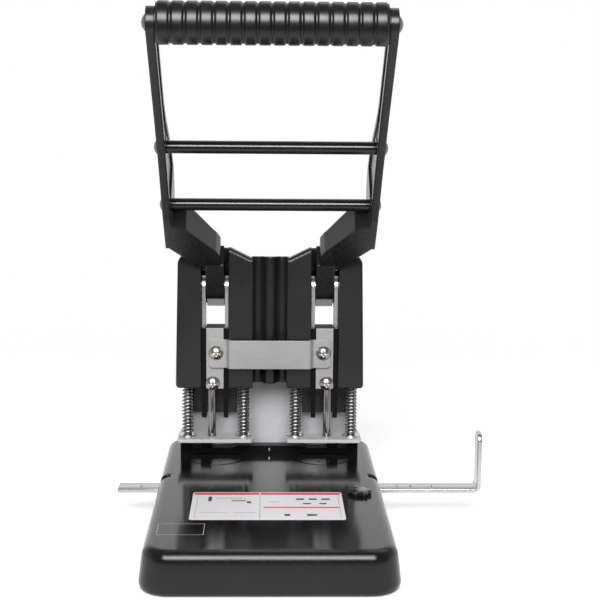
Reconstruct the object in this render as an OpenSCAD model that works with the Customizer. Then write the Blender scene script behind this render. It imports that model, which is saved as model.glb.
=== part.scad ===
// Heavy duty two-hole punch. X right, Y away from the user, Z up, millimetres.
// Z = 0 is the table it stands on, Y = 0 the plane of the two punch pins.

/* [Punching] */
// distance between the two hole centres
hole_pitch = 80; // [79:0.1:81]
// diameter of a punched hole
pin_d = 5.5; // [5:0.1:6.5]
// height of the paper gap over the table
throat = 13.6; // [10:0.2:16]
// distance from one lever slot to the other
unit_pitch = 74.8; // [74:0.2:76]

/* [Base] */
// width of the base
base_w = 149.6; // [146:0.2:160]
// reach of the base in front of the pins
base_front = 206; // [180:1:230]
// reach of the base behind the pins
base_rear = 62; // [58:1:80]
// height of the table
base_h = 26; // [24:0.5:30]
// sheet thickness of the base
sheet = 2; // [1.5:0.1:2]
// radius of the shoulder between table and sides
shoulder_r = 6; // [5:0.5:8]
// radius of the corners seen from above
corner_r = 18; // [14:1:24]
// lean of the base's sides, from their foot to the shoulder
side_draft = 1.8; // [1:0.1:2.5]
// diameter of the discs under the pins
disc_d = 36; // [30:0.5:38]

/* [Head] */
// width of the head
head_w = 128.6; // [128:0.2:132]
// height of the underside of the head
head_bottom = 78.7; // [77:0.2:80]
// height of the head's outer walls
head_top = 170; // [168:0.5:171]
// rise of the inner walls above the outer ones
post_rise = 5; // [3:0.2:6]
// depth of the head behind the pins
head_rear = 44; // [42:0.5:48]
// front of the head in front of the pins
head_front = 14; // [14:0.1:15]
// width of a lever slot
slot_w = 18.9; // [18.7:0.1:19.1]
// thickness of the back plate
wall_t = 5; // [4:0.5:5]

/* [Lever] */
// lean of the lever above the horizontal at rest
lean = 41; // [40:0.5:42]
// length of the lever from its axle to its grip
lever_len = 262; // [250:1:275]
// outer width over the lever arms
arms_w = 138; // [138:0.5:142]
// thickness of an arm
arm_t = 5; // [4.5:0.1:5.5]
// diameter of the grip over its ribs
grip_d = 24; // [22:0.5:26]
// diameter of the crossbars
bar_d = 8; // [7:0.2:9]
// diameter of the axle
axle_d = 10; // [9:0.5:11]
// distance from the axle to the pins of the links
crank_r = 22.2; // [22:0.1:22.4]
// swing of the lever
swing = 40; // [39:0.5:40]

/* [Tie bracket] */
// height of the strip that ties the punch holders
tie_h = 19.4; // [18:0.2:20]
// step of the strip in front of its ears
tie_step = 4.4; // [2:0.2:5]

/* [Springs] */
// wire of the springs
wire_d = 1.1; // [0.9:0.05:1.2]
// outer diameter of the springs
spring_d = 8.2; // [7.8:0.1:8.6]
// turns of each spring
spring_turns = 23; // [18:1:23]

/* [Paper guide] */
// width of the guide bar
guide_w = 15; // [14:0.2:15]
// thickness of the guide bar
guide_t = 2.5; // [2:0.1:2.5]
// length of the guide bar left of the middle
guide_left = 100; // [96:1:104]
// length of the guide bar right of the middle
guide_right = 140; // [136:1:150]
// height of the upturned end above the table
guide_rise = 38; // [30:1:42]

/* [Fits] */
// gap between pieces that are bolted together
seat = 0.02; // [0.01:0.01:0.05]
// radial clearance of a running shaft
run = 0.05; // [0.02:0.01:0.08]
// clearance between sliding bodies
slide = 0.35; // [0.3:0.05:0.4]

/* [Hidden] */
$fn = 48;
uc = unit_pitch / 2;
pin_x = hole_pitch / 2;
half_slot = slot_w / 2;
axle_y = crank_r * cos(18);
crank_z = crank_r * sin(18);
nose_z = 147.45;
axle_z = nose_z - crank_z;
link_len = 34;
link_z = nose_z - link_len;
link_r = 7;
link_in = 6.6;
link_t = 2.5;
nose_half = 6.2;
pin_top = 97;
screw_d = 4;
long_screw = 11;
short_screw = 7;
stroke = crank_r * (sin(18) + sin(swing - 18));
plate_t = 2.3;
plate_z = base_h + throat;
plate_y0 = -12;
plate_y1 = 8.4;
washer_t = 1.2;
washer_d = 12;
rod_d = 5;
rod_dx = 19.4;
wing_t = 4;
wing_z = 100;
spring_z0 = plate_z + plate_t + washer_t + 2 * seat;
spring_z1 = wing_z - seat;
back_y = 20;
back_top = 112;
foot_z = base_h + seat;
anvil_t = 5;
anvil_half = uc + disc_d / 2 + 4.6;
anvil_z = base_h - sheet - seat - anvil_t;
disc_t = 2.2;
disc_seat_z = base_h - disc_t;
holder_y = -11.6;
holder_t = 2;
holder_w = 11.7;
ram_front_t = 2.3;
ram_low = plate_z + plate_t + slide + stroke;
ear_y = holder_y - holder_t - 2 * seat;
screw_x = uc - 0.9;
low_screw_x = uc + 1.6;
low_screw_z = 81.8;
high_screw_z = 103.4;
holder_top = 120;
holder_low = 78.2;
tie_z = 93.1;
stop_y = 11;
stop_h = 4.3;
stop_mid = 5.8;
guide_z = 17.5;
guide_y = -50.5;
knob_x = base_w / 2 - 17.3;
knob_y = -89.5;
notch_in = 9;
foot_in = 1.8;
foot_h = 4;
tip_z = base_h + 0.3 + stroke;
arm_in = arms_w / 2 - arm_t;
edge_r = 3;
top_r = 6;
draft = 1.8;
top_front_r = 3;
crown = -6;
crown_end = 24;
crown_fall = 3.9;
flare_y = 24;
flare_z = 153;
flare_in = 5.5;
rear_wall_y = 34;
rear_wall_low = 131.5;
clip_x = head_w / 2 - 4.1;
clip_d = 15;
bend_r = 5;
arch = 2.2;
web_half = uc - half_slot - 16.2;
rib_r = 4.2;
groove_r = (web_half - rib_r) / 2;
groove_y = -head_front + 6;
rib_y = -head_front + 7.5;
slot_back = 10;
bridge_z = 109;
block_half = 16.5;
block_low = head_bottom - 22.5;
rod_in = 24;
bolt_d = 8;
bolt_x = 18;
bolt_zs = [86, 104];
bolt_in = 14;
foot_bolt = [40, 45];
foot_t = 4;
arm_axis = 5.5;
s_low = 95;
s_up = 154;
web_low = 9;
web_s = 45.6;
lip_s = 40;
hub_r = 10.3;
nose_r = 9.5;
pivot_d = 7;
spacer_d = 16;
arm_bolt_d = 5;
dome_d = 10.4;
grip_core_d = 12;
groove_deep = 1.2;

echo(stroke_mm = stroke, ratio_mm_per_rad = stroke / (swing * PI / 180), axle = [axle_y, axle_z]);

module box(x0, x1, y0, y1, z0, z1) {
    translate([x0, y0, z0]) cube([x1 - x0, y1 - y0, z1 - z0]);
}

// bar along X from x0 to x1
module xrod(d, x0, x1, y = 0, z = 0) {
    translate([x0, y, z]) rotate([0, 90, 0]) cylinder(d = d, h = x1 - x0);
}

// bar along Y from y0 to y1
module yrod(d, y0, y1, x = 0, z = 0) {
    translate([x, y0, z]) rotate([-90, 0, 0]) cylinder(d = d, h = y1 - y0);
}

module mirror_x(m) {
    mirror([m, 0, 0]) children();
}

// profile drawn in Y and Z, drawn out along X
module side_plate(x0, x1) {
    translate([x0, 0, 0]) rotate([90, 0, 90]) linear_extrude(x1 - x0) children();
}

// lever frame: first axis along the lever, second to its upper side
module lever_frame() {
    translate([axle_y, axle_z]) rotate(180 - lean) mirror([0, 1]) children();
}

function lever_pt(s, t) = [axle_y - s * cos(lean) + t * sin(lean), axle_z + s * sin(lean) + t * cos(lean)];

module plan(inset) {
    translate([0, (base_rear - base_front) / 2])
        offset(r = corner_r - inset, $fn = 40)
            square([base_w - 2 * corner_r, base_front + base_rear - 2 * corner_r], center = true);
}

// leaning sides on a tucked-in foot, and a round shoulder
module pan_body(inset, z0, top) {
    r = shoulder_r - inset;
    hull() {
        translate([0, 0, z0]) linear_extrude(1) plan(inset + foot_in);
        translate([0, 0, z0 + 1.2]) linear_extrude(1) plan(inset + foot_in / 3);
        translate([0, 0, z0 + foot_h]) linear_extrude(1) plan(inset);
        for (a = [0, 22.5, 45, 67.5])
            translate([0, 0, top - r - 0.5]) linear_extrude(0.5 + r * sin(a))
                plan(inset + side_draft + r * (1 - cos(a)));
        translate([0, 0, top - r]) linear_extrude(r) plan(inset + side_draft + r);
    }
}

module base_pan() {
    slot_z = guide_z - slide;
    color("#4a4a4c") difference() {
        pan_body(0, 0.5, base_h);
        pan_body(sheet, 0, base_h - sheet);
        translate([0, 0, -1]) linear_extrude(2) plan(sheet + foot_in);
        for (s = [-1, 1]) translate([s * uc, 0, base_h - sheet - 1]) cylinder(d = disc_d + 1, h = sheet + 2);
        box(-base_w, base_w, guide_y - guide_w / 2 - slide, guide_y + guide_w / 2 + slide, slot_z,
            guide_z + guide_t + slide);
        // finger notches over the ends of the bar's slot
        for (m = [0, 1]) mirror_x(m)
            box(base_w / 2 - notch_in, base_w, guide_y - 1, guide_y + guide_w / 2 + slide, slot_z,
                base_h + 1);
        translate([knob_x, knob_y, base_h - sheet - 1]) cylinder(d = 6 + 2 * slide, h = sheet + 2);
        for (s = [-1, 1]) translate([s * foot_bolt[0], foot_bolt[1], base_h - sheet - 1])
            cylinder(d = bolt_d + 0.1, h = sheet + 2);
    }
}

module bottom_cover() {
    color("#232325") linear_extrude(2) plan(sheet + foot_in + slide);
}

module anvil_plate() {
    color("#8d8f92") difference() {
        box(-anvil_half, anvil_half, -disc_d / 2 - 6, foot_bolt[1] + 9, anvil_z, anvil_z + anvil_t);
        for (s = [-1, 1]) translate([s * uc, 0, disc_seat_z - 0.3]) cylinder(d = disc_d + 0.6, h = anvil_t);
        for (s = [-1, 1]) translate([s * foot_bolt[0], foot_bolt[1], anvil_z - 1])
            cylinder(d = bolt_d + 2 * seat, h = anvil_t + 2);
    }
}

module back_plate() {
    half = head_w / 2 - 8.3;
    rear = foot_bolt[1] + 10;
    rib_t = 5;
    rib_top = back_top - 20;
    color("#aaaaac") difference() {
        union() {
            box(-half, half, back_y, back_y + wall_t, foot_z, back_top);
            box(-half, half, back_y, rear, foot_z, foot_z + foot_t);
            for (x = [-half, -rib_t / 2, half - rib_t])
                side_plate(x, x + rib_t) polygon([[back_y + 1, foot_z + 1], [rear - 1, foot_z + 1],
                    [rear - 1, foot_z + 10], [back_y + wall_t + 3, rib_top], [back_y + 1, rib_top]]);
        }
        for (s = [-1, 1]) translate([s * foot_bolt[0], foot_bolt[1], foot_z - 1])
            cylinder(d = bolt_d + 2 * seat, h = foot_t + 2);
        for (x = [-bolt_x, bolt_x], z = bolt_zs)
            yrod(bolt_d + 2 * seat, back_y - 1, back_y + wall_t + 1, x, z);
    }
}

module hex_bolt(len) {
    cylinder(d = 1.75 * bolt_d, h = 0.63 * bolt_d, $fn = 6);
    translate([0, 0, -len]) cylinder(d = bolt_d, h = len + 1);
}

module frame_bolts() {
    color("#6d6f72") {
        for (s = [-1, 1]) translate([s * foot_bolt[0], foot_bolt[1], foot_z + foot_t + seat])
            hex_bolt(foot_t + sheet + anvil_t + 2 * seat);
        for (x = [-bolt_x, bolt_x], z = bolt_zs) translate([x, back_y + wall_t + seat, z])
            rotate([-90, 0, 0]) hex_bolt(wall_t + bolt_in);
    }
}

// fence behind the discs that the paper's edge meets, with the posts under the stripper plates
module paper_stop() {
    post = [[uc + 18, uc + 25.2], [uc + 3.5, uc + 11]];
    z0 = base_h + seat;
    y1 = back_y - seat;
    color("#1b1b1d") difference() {
        union() {
            side_plate(-uc - 25.2, uc + 25.2) translate([stop_y, z0]) square([y1 - stop_y, stop_h]);
            translate([0, y1, 0]) rotate([90, 0, 0]) linear_extrude(y1 - stop_y)
                polygon([[-29, z0 + 1], [29, z0 + 1], [29, z0 + stop_h - 0.5], [22, z0 + stop_mid],
                    [-22, z0 + stop_mid], [-29, z0 + stop_h - 0.5]]);
            for (m = [0, 1]) mirror_x(m) {
                box(post[0][0], post[0][1], stop_y, y1, z0 + 1, plate_z - seat);
                box(post[1][0], post[1][1], stop_y, y1, z0 + 1, plate_z - 2.5);
            }
        }
        // room over the turning discs
        for (s = [-1, 1]) translate([s * uc, 0, base_h - 1]) cylinder(d = disc_d + 1, h = 1 + slide);
    }
}

// side view of a wall: round front edge, easy slope, then a round fall to the rear
module head_side(top) {
    tilt = atan(crown_fall / (crown_end - crown));
    r = (head_rear - crown_end) / (1 - sin(tilt));
    c = [crown_end - r * sin(tilt), top - crown_fall - r * cos(tilt)];
    f = [top_front_r - head_front, top - top_front_r];
    polygon(concat([[head_rear, head_bottom - 1], [-head_front, head_bottom - 1]],
        [for (a = [180 : -15 : 90]) [f[0] + top_front_r * cos(a), f[1] + top_front_r * sin(a)]],
        [[crown, top]],
        [for (i = [0 : 8]) let (a = (90 - tilt) * (1 - i / 8)) [c[0] + r * cos(a), c[1] + r * sin(a)]]));
}

// outer wall seen from the front, drawn in towards its top
module outer_wall_front() {
    o = head_w / 2;
    p = uc - half_slot;
    polygon([[p, head_bottom], [o - edge_r / 2, head_bottom], [o, head_bottom + edge_r / 2],
        [o - draft, head_top - top_r], [p, head_top - top_r]]);
    translate([o - draft - top_r, head_top - top_r]) circle(r = top_r);
    translate([p, head_top - top_r - 1]) square([o - draft - top_r - p, top_r + 1]);
}

// outer walls, inner walls that fall towards the web, and the web
module head_body() {
    p = uc - half_slot;
    high = head_top + post_rise;
    for (m = [0, 1]) mirror_x(m) {
        intersection() {
            translate([0, head_rear, 0]) rotate([90, 0, 0]) linear_extrude(head_rear + head_front)
                outer_wall_front();
            side_plate(0, head_w) head_side(head_top);
        }
        hull() {
            side_plate(p - 1, uc) head_side(high);
            side_plate(web_half + 1, web_half + 1.01) head_side(high - (p - web_half - 2) * 0.49);
        }
        side_plate(web_half, web_half + 2) head_side(head_top - 2.2);
    }
    side_plate(-web_half - 1, web_half + 1) head_side(head_top - 1.4);
}

// view from above, with the standing front edges rounded
module head_plan() {
    o = head_w / 2;
    translate([-o, -head_front + edge_r]) square([head_w, head_front + head_rear - edge_r]);
    translate([edge_r - o, -head_front]) square([head_w - 2 * edge_r, edge_r + 1]);
    for (s = [-1, 1]) translate([s * (o - edge_r), edge_r - head_front]) circle(r = edge_r);
}

module punch_head() {
    color("#444446") difference() {
        union() {
            intersection() {
                head_body();
                translate([0, 0, head_bottom]) linear_extrude(head_top) head_plan();
            }
            // blocks behind the springs, down the front of the back plate
            for (s = [-1, 1]) translate([s * (uc + 2.1), 0, 0])
                box(-block_half, block_half, slot_back, back_y - seat, block_low, head_bottom + 2);
        }
        // step over the back plate
        box(-head_w, head_w, back_y - seat, head_rear + 1, head_bottom - 30, back_top + seat);
        for (m = [0, 1]) mirror_x(m) {
            // lever slot, closed behind the hub and open at the rear over the bridge
            box(uc - half_slot, uc + half_slot, -head_front - 1, slot_back, head_bottom - 1, head_top + 20);
            box(uc - half_slot, uc + half_slot, slot_back - 1, flare_y, bridge_z, head_top + 20);
            box(uc - half_slot, uc + half_slot, flare_y - 1, rear_wall_y, bridge_z, flare_z);
            box(uc - half_slot + flare_in, uc + half_slot, flare_y - 1, rear_wall_y, flare_z - 1,
                head_top + 20);
            box(uc - half_slot, uc + half_slot, rear_wall_y - 1, head_rear + 1, bridge_z, rear_wall_low);
            // arched underside of the web
            box(-1, web_half, -head_front - 1, head_rear, head_bottom - 1, head_bottom + arch);
            // recess of the axle's clip
            xrod(clip_d + 1, clip_x, head_w, axle_y, axle_z);
            // pockets of the springs, open below
            box(uc - rod_dx - 6, uc + rod_dx + 6, -7, 7, head_bottom - 1, wing_z + wing_t + 1.2);
            for (d = [-rod_dx, rod_dx]) translate([uc + d, 0, wing_z])
                cylinder(d = rod_d + 2 * seat, h = rod_in);
            // round-bottomed groove beside the middle rib
            translate([rib_r + groove_r, 0, head_bottom - 1]) {
                box(-groove_r, groove_r, -head_front - 1, groove_y, 0, head_top);
                translate([0, groove_y, 0]) cylinder(r = groove_r, h = head_top);
            }
        }
        // the middle rib stands back and is round in front
        difference() {
            box(-web_half, web_half, -head_front - 1, rib_y, head_bottom - 1, head_top + 20);
            translate([0, rib_y, head_bottom - 2]) cylinder(r = rib_r, h = head_top);
        }
        xrod(axle_d + 2 * seat, -head_w, head_w, axle_y, axle_z);
        for (x = [-bolt_x, bolt_x], z = bolt_zs) yrod(bolt_d + 2 * seat, back_y - bolt_in, back_y + 1, x, z);
    }
}

module lever_axle() {
    color("#9a9da0") xrod(axle_d, -clip_x - 2.2, clip_x + 2.2, axle_y, axle_z);
}

module axle_clips() {
    color("#8a8c8f") for (m = [0, 1]) mirror_x(m) difference() {
        xrod(clip_d, clip_x + seat, clip_x + 1.3, axle_y, axle_z);
        xrod(axle_d + 2 * seat, clip_x - 1, clip_x + 3, axle_y, axle_z);
    }
}

module pivot_spacers() {
    color("#2a2a2c") for (x = [-uc, uc], s = [-1, 1]) translate([x, axle_y, axle_z]) rotate([0, 90 * s, 0])
        translate([0, 0, nose_half + 0.1]) difference() {
            cylinder(d = spacer_d, h = half_slot - nose_half - 0.2);
            translate([0, 0, -1]) cylinder(d = axle_d + 0.04, h = 6);
        }
}

// plate with rounded front corners
module plate_form() {
    half = rod_dx + 6.6;
    r = 2.5;
    linear_extrude(plate_t) {
        translate([-half, plate_y0 + r]) square([2 * half, plate_y1 - plate_y0 - r]);
        translate([-half + r, plate_y0]) square([2 * (half - r), r + 1]);
        for (s = [-1, 1]) translate([s * (half - r), plate_y0 + r]) circle(r = r);
    }
}

module stripper_plate() {
    difference() {
        union() {
            translate([uc, 0, plate_z]) plate_form();
            box(uc + 18, uc + 25.2, plate_y1 - 4, back_y - 1.5, plate_z, plate_z + plate_t);
        }
        translate([pin_x, 0, plate_z - 1]) cylinder(d = pin_d + 0.8, h = plate_t + 2);
        box(uc - 6.5, uc + 6.5, 5, plate_y1 + 1, plate_z - 1, plate_z + plate_t + 1);
        for (d = [-rod_dx, rod_dx]) translate([uc + d, 0, plate_z - 1])
            cylinder(d = rod_d + 2 * seat, h = plate_t + 2);
    }
}

module stripper_plate_left() {
    color("#c4c6c8") mirror_x(1) stripper_plate();
}

module stripper_plate_right() {
    color("#c4c6c8") stripper_plate();
}

module guide_rods() {
    color("#c9cbcd") for (x = [-uc - rod_dx, -uc + rod_dx, uc - rod_dx, uc + rod_dx])
        translate([x, 0, plate_z + 0.2]) cylinder(d = rod_d, h = wing_z + rod_in - 0.5 - plate_z);
}

module rod_washers() {
    color("#d2d4d6") for (x = [-uc - rod_dx, -uc + rod_dx, uc - rod_dx, uc + rod_dx])
        translate([x, 0, plate_z + plate_t + seat]) difference() {
            cylinder(d = washer_d, h = washer_t);
            translate([0, 0, -1]) cylinder(d = rod_d + 0.04, h = washer_t + 2);
        }
}

coil_r = (spring_d - wire_d) / 2;
coil_h = spring_z1 - spring_z0 - wire_d;
coil_steps = spring_turns * 8;
function coil_c(i) = [coil_r * cos(i * 45), coil_r * sin(i * 45), coil_h * i / coil_steps];
function ring_pt(i, k) = let (a = i * 45, b = k * 60)
    [(coil_r + wire_d / 2 * cos(b)) * cos(a), (coil_r + wire_d / 2 * cos(b)) * sin(a),
    coil_h * i / coil_steps + wire_d / 2 * sin(b)];
coil_gap = min([for (i = [0 : 12], j = [i + 6 : i + 12]) norm(coil_c(i) - coil_c(j))]) - wire_d;
echo(spring_self_gap_mm = coil_gap, spring_self_gap_pressed_mm = (coil_h - stroke) / spring_turns - wire_d);

// one unbroken tube wound round a rod
module coil() {
    n = coil_steps;
    pts = [for (i = [0 : n], k = [0 : 5]) ring_pt(i, k)];
    faces = concat(
        [[for (k = [0 : 5]) k]],
        [for (i = [0 : n - 1], k = [0 : 5]) [i * 6 + k, (i + 1) * 6 + k, (i + 1) * 6 + (k + 1) % 6]],
        [for (i = [0 : n - 1], k = [0 : 5]) [i * 6 + k, (i + 1) * 6 + (k + 1) % 6, i * 6 + (k + 1) % 6]],
        [[for (k = [5 : -1 : 0]) n * 6 + k]]);
    translate([0, 0, spring_z0 + wire_d / 2]) polyhedron(pts, faces, convexity = 10);
}

module spring_left_outer() {
    color("#b9bbbe") translate([-uc - rod_dx, 0, 0]) coil();
}

module spring_left_inner() {
    color("#b9bbbe") translate([-uc + rod_dx, 0, 0]) coil();
}

module spring_right_inner() {
    color("#b9bbbe") translate([uc - rod_dx, 0, 0]) coil();
}

module spring_right_outer() {
    color("#b9bbbe") translate([uc + rod_dx, 0, 0]) coil();
}

module guide_clamp() {
    z0 = guide_z + guide_t + slide;
    color("#8d8f92") difference() {
        union() {
            box(knob_x - 8, knob_x + 8, knob_y - 8, guide_y + guide_w / 2 - 2, z0, z0 + 2);
            translate([knob_x, knob_y, 10]) cylinder(d = 10, h = z0 - 9);
        }
        translate([knob_x, knob_y, 9]) cylinder(d = 5 + 2 * run, h = 20);
    }
}

// side view of an arm in lever coordinates
module arm_side() {
    hull() {
        translate([lever_len, arm_axis]) circle(d = 18);
        translate([s_up + 34, arm_axis]) square([1, 17], center = true);
    }
    offset(r = 2, $fn = 24) offset(delta = -2)
        polygon([[64, -web_low], [s_low + 2, -web_low], [143, -4.5], [s_up + 35, -3], [s_up + 35, 14],
            [s_up + 17, 17], [143, 26], [115, 35], [93, 37], [77, 32], [67, 17]]);
}

// front view of a lever from its arm to its slot: X against length along the lever
module body_front() {
    o = arms_w / 2;
    inner = uc - nose_half + 2.2;
    offset(r = 3, $fn = 32) offset(delta = -3)
        polygon([[o, s_low + 4], [o, 70], [o - 0.6, 67.5], [o - 10, 56.4], [o - 19, web_s],
            [uc + nose_half - 1, web_s], [uc + nose_half - 1, 32], [inner, 32], [inner, 56],
            [inner + 2.6, 62], [inner + 21.6, 87], [arm_in, 90.6], [arm_in, s_low + 4]]);
}

// section of the lever's body across its length: X against its thickness, thicker at the arm
module body_section() {
    o = arms_w / 2;
    offset(r = 2.5, $fn = 32) offset(delta = -2.5)
        polygon([[20, -web_low], [o, -web_low], [o, 13], [arm_in - 8, 13], [uc, 7.2], [20, 7.2]]);
}

module lever_side(r) {
    rotate([90, 0, 90]) linear_extrude(r) lever_frame() children();
}

// solid drawn in lever coordinates: X, length along the lever, thickness
module on_lever() {
    multmatrix([[1, 0, 0, 0], [0, -cos(lean), sin(lean), axle_y], [0, sin(lean), cos(lean), axle_z]])
        children();
}

module web_solid() {
    on_lever() intersection() {
        translate([0, 0, -20]) linear_extrude(50) body_front();
        translate([0, 120, 0]) rotate([90, 0, 0]) linear_extrude(100) body_section();
    }
}

// lower front lip of the web, which runs on down in front of the head
module web_lip() {
    x = [uc + nose_half - 1, arms_w / 2 - 19];
    on_lever() intersection() {
        translate([0, 0, -20]) linear_extrude(50)
            polygon([[x[0], lip_s - 3.3], [x[1], web_s], [x[1] + 2, web_s + 2.4], [x[1] + 2, web_s + 6],
                [x[0], web_s + 6]]);
        side_plate(x[0] - 1, x[1] + 3) polygon([[lip_s, -web_low], [web_s + 6, -web_low], [web_s + 6, 3],
            [web_s + 2.4, 1], [web_s + 0.8, -1]]);
    }
}

// nose that reaches through the slot to the pins of the links
module nose_side() {
    hull() {
        translate([axle_y, axle_z]) circle(r = hub_r);
        translate([0, nose_z]) circle(r = nose_r);
    }
    hull() {
        translate([0, nose_z]) circle(r = nose_r);
        translate([axle_y, axle_z]) circle(r = hub_r);
        polygon([lever_pt(46, -web_low), lever_pt(46, 7), lever_pt(44, 7), lever_pt(44, -web_low)]);
    }
}

module lever_arm() {
    difference() {
        union() {
            translate([arm_in, 0, 0]) lever_side(arm_t) arm_side();
            web_solid();
            web_lip();
            side_plate(uc - nose_half, uc + nose_half) nose_side();
        }
        // sunk panel of the arm's inner face
        translate([arm_in - 1, 0, 0]) lever_side(2.4) difference() {
            offset(delta = -4) arm_side();
            translate([-50, -50]) square([s_low + 56, 200]);
        }
        xrod(axle_d + 2 * run, 0, arms_w, axle_y, axle_z);
        xrod(pivot_d + 2 * seat, 0, uc + 20, 0, nose_z);
        for (p = [lever_pt(s_low, arm_axis), lever_pt(s_up, arm_axis), lever_pt(lever_len, arm_axis)])
            xrod(arm_bolt_d + 2 * seat, arm_in - 5, arms_w, p[0], p[1]);
    }
    for (s = [s_low, s_up]) translate([arm_in, lever_pt(s, arm_axis)[0], lever_pt(s, arm_axis)[1]])
        rotate([0, 90, 0]) difference() {
            cylinder(d = bar_d + 5, h = 2);
            translate([0, 0, -1]) cylinder(d = arm_bolt_d + 2 * seat, h = 4);
        }
}

module lever_arm_left() {
    color("#2c2c2e") mirror_x(1) lever_arm();
}

module lever_arm_right() {
    color("#2c2c2e") lever_arm();
}

module crossbar(s, d) {
    p = lever_pt(s, arm_axis);
    difference() {
        xrod(d, -arm_in + seat, arm_in - seat, p[0], p[1]);
        for (m = [0, 1]) mirror_x(m) xrod(arm_bolt_d + 2 * seat, arm_in - 14, arm_in + 1, p[0], p[1]);
    }
}

module crossbar_upper() {
    color("#2a2a2c") crossbar(s_up, bar_d);
}

module crossbar_lower() {
    color("#2a2a2c") crossbar(s_low, bar_d);
}

// low dome of a round head, flat side down
module dome(d, h) {
    r = (d * d / 4 + h * h) / (2 * h);
    intersection() {
        translate([0, 0, h - r]) sphere(r = r);
        cylinder(d = d, h = h);
    }
}

module dome_bolt(s, d) {
    p = lever_pt(s, arm_axis);
    for (m = [0, 1]) mirror_x(m) {
        xrod(arm_bolt_d, arm_in - 13, arms_w / 2 + 1, p[0], p[1]);
        translate([arms_w / 2 + seat, p[0], p[1]]) rotate([0, 90, 0]) dome(d, 2.8);
    }
}

module crossbar_bolts() {
    color("#3a3a3c") {
        dome_bolt(s_low, dome_d);
        dome_bolt(s_up, dome_d);
    }
}

module grip_bolts() {
    color("#3a3a3c") dome_bolt(lever_len, dome_d);
}

module grip_core() {
    color("#55575a") crossbar(lever_len, grip_core_d);
}

module grip_sleeve() {
    p = lever_pt(lever_len, arm_axis);
    n = 16;
    len = 2 * arm_in - 2 * slide;
    pitch = len / n;
    crest = grip_d / 2;
    bore = grip_core_d / 2 + seat;
    // one rib: half a groove, a rounded crest, half a groove
    rib = [[crest - groove_deep, 0.6], [crest - 0.4, 0.95], [crest, 1.8]];
    color("#303032") translate([-len / 2, p[0], p[1]]) rotate([0, 90, 0]) rotate_extrude($fn = 40)
        polygon(concat([[bore, 0], [crest - groove_deep, 0]],
            [for (i = [0 : n - 1]) each concat([for (q = rib) [q[0], i * pitch + q[1]]],
                [for (k = [2 : -1 : 0]) [rib[k][0], (i + 1) * pitch - rib[k][1]]])],
            [[crest - groove_deep, len], [bore, len]]));
}

module nose_pins() {
    color("#c0c2c4") for (x = [-uc, uc]) xrod(pivot_d, x - link_in - link_t, x + link_in + link_t, 0, nose_z);
}

module link_pair(c) {
    for (s = [-1, 1]) translate([c + s * (link_in + link_t / 2) - link_t / 2, 0, 0])
        rotate([90, 0, 90]) linear_extrude(link_t) difference() {
            hull() {
                translate([0, nose_z]) circle(r = link_r);
                translate([0, link_z]) circle(r = link_r);
            }
            translate([0, nose_z]) circle(d = pivot_d + 2 * run);
            hull() for (d = [-0.65, 1.2]) translate([d, link_z]) circle(d = pivot_d + 0.5);
        }
}

module link_plates_left() {
    color("#c6c8ca") link_pair(-uc);
}

module link_plates_right() {
    color("#c6c8ca") link_pair(uc);
}

module ram() {
    front = holder_y + seat;
    leg_half = link_in + link_t;
    pin_low = head_bottom - 8;
    difference() {
        union() {
            box(uc - nose_half, uc + nose_half, front, 6.5, head_bottom, holder_top - 0.2);
            box(uc - leg_half, uc + leg_half, front, front + ram_front_t, ram_low, holder_top - 0.2);
            box(uc - rod_dx - 5, uc + rod_dx + 5, -6, 6, wing_z, wing_z + wing_t);
        }
        box(uc - holder_w / 2, uc + holder_w / 2, holder_y - 1, 0, 40, head_bottom - 1.5);
        xrod(pivot_d + 2 * seat, uc - 20, uc + 20, 0, link_z);
        translate([pin_x, 0, pin_low]) cylinder(d = pin_d + 2 * seat, h = pin_top - pin_low + 0.5);
        yrod(screw_d + 2 * seat, holder_y - 1, holder_y + 9, screw_x, high_screw_z);
        yrod(screw_d + 2 * seat, holder_y - 1, holder_y + 6, low_screw_x, low_screw_z);
        for (d = [-rod_dx, rod_dx]) translate([uc + d, 0, wing_z - 1])
            cylinder(d = rod_d + 2 * run, h = wing_t + 2);
    }
}

module ram_left() {
    color("#232325") mirror_x(1) ram();
}

module ram_right() {
    color("#232325") ram();
}

module link_pins() {
    color("#c0c2c4") for (x = [-uc, uc]) xrod(pivot_d, x - link_in - link_t, x + link_in + link_t, 0, link_z);
}

module punch_holder() {
    difference() {
        box(uc - holder_w / 2, uc + holder_w / 2, holder_y - holder_t, holder_y, holder_low, holder_top);
        yrod(screw_d + 2 * seat, -20, 0, screw_x, high_screw_z);
        yrod(screw_d + 2 * seat, -20, 0, low_screw_x, low_screw_z);
    }
}

module punch_holder_left() {
    color("#b2b2b4") mirror_x(1) punch_holder();
}

module punch_holder_right() {
    color("#b2b2b4") punch_holder();
}

module tie_bracket() {
    out = uc + 4;
    main = uc - half_slot;
    f = ear_y - holder_t;
    r = 2.7;
    // right half of the joggled strip seen from above, front face then rear face
    edge = [[0, f - tie_step], [main - 0.8, f - tie_step], [main, f - tie_step + 0.8], [main + 1.2, f - 0.8],
        [main + 2, f], [out, f], [out, ear_y], [main + 0.6, ear_y], [main - 0.6, ear_y - 1],
        [main - 2, ear_y - tie_step], [0, ear_y - tie_step]];
    color("#b6b6b8") difference() {
        intersection() {
            translate([0, 0, tie_z]) linear_extrude(tie_h) polygon(concat(edge,
                [for (i = [len(edge) - 2 : -1 : 1]) [-edge[i][0], edge[i][1]]]));
            // rounded ends
            translate([0, 0, tie_z]) rotate([90, 0, 0]) linear_extrude(60) {
                translate([-out + r, 0]) square([2 * (out - r), tie_h]);
                translate([-out, r]) square([2 * out, tie_h - 2 * r]);
                for (x = [r - out, out - r], z = [r, tie_h - r]) translate([x, z]) circle(r = r);
            }
        }
        for (m = [0, 1]) mirror_x(m) yrod(screw_d + 2 * seat, -30, 0, screw_x, high_screw_z);
    }
}

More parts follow.
